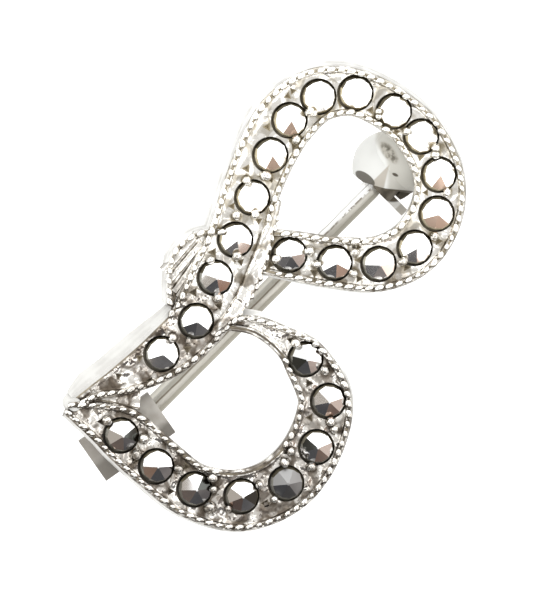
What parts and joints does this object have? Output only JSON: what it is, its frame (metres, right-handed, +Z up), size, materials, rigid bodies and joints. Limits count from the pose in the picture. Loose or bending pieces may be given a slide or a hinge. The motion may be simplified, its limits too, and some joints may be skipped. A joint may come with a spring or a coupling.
{
  "type": "letter brooch",
  "caption": "Small letter-shaped bar brooch: a pierced metal initial set with round cut stones, with a hinged pin and a rollover catch behind it.",
  "frame": {"origin": "middle of the lying brooch's outline, on the surface it lies on", "axes": "+Z up with the letter's face upwards, +Y along the letter's height towards its top, +X to the letter's right"},
  "size_m": [0.0144, 0.0268, 0.0078],
  "materials": {
    "silver": "cast and polished silver, darkened in the hollows",
    "dull_silver": "grey, worn, lightly tarnished plate",
    "rivet_wire": "drawn wire with spread ends",
    "pin_wire": "polished round wire with fine lengthwise scratches",
    "catch_metal": "soft worn polish with dark pits",
    "roller_metal": "worn, darker inside",
    "marcasite": "cut pyrite with mirror-bright grey facets"
  },
  "bodies": {
    "root": {"letter": "silver", "hinge": "dull_silver", "rivet": "rivet_wire", "catch": "catch_metal", "stone_01": "marcasite", "stone_02": "marcasite", "stone_03": "marcasite", "stone_04": "marcasite", "stone_05": "marcasite", "stone_06": "marcasite", "stone_07": "marcasite", "stone_08": "marcasite", "stone_09": "marcasite", "stone_10": "marcasite", "stone_11": "marcasite", "stone_12": "marcasite", "stone_13": "marcasite", "stone_14": "marcasite", "stone_15": "marcasite", "stone_16": "marcasite", "stone_17": "marcasite", "stone_18": "marcasite", "stone_19": "marcasite", "stone_20": "marcasite", "stone_21": "marcasite", "stone_22": "marcasite", "stone_23": "marcasite", "stone_24": "marcasite", "stone_25": "marcasite"},
    "pin": {"pin": "pin_wire"},
    "roller": {"roller": "roller_metal"}
  },
  "joints": [
    {"name": "pin_swing", "type": "hinge", "parent": "root", "child": "pin", "pos_m": [-0.00338, -0.01049, 0.00138], "axis": [-0.8779, 0.3266, 0.3503], "range_deg": [0, 100]},
    {"name": "roller_turn", "type": "hinge", "parent": "root", "child": "roller", "pos_m": [0.00021, 0.00933, 0.00188], "axis": [0.178, 0.9837, 0.0248], "range_deg": [0, 120]}
  ]
}
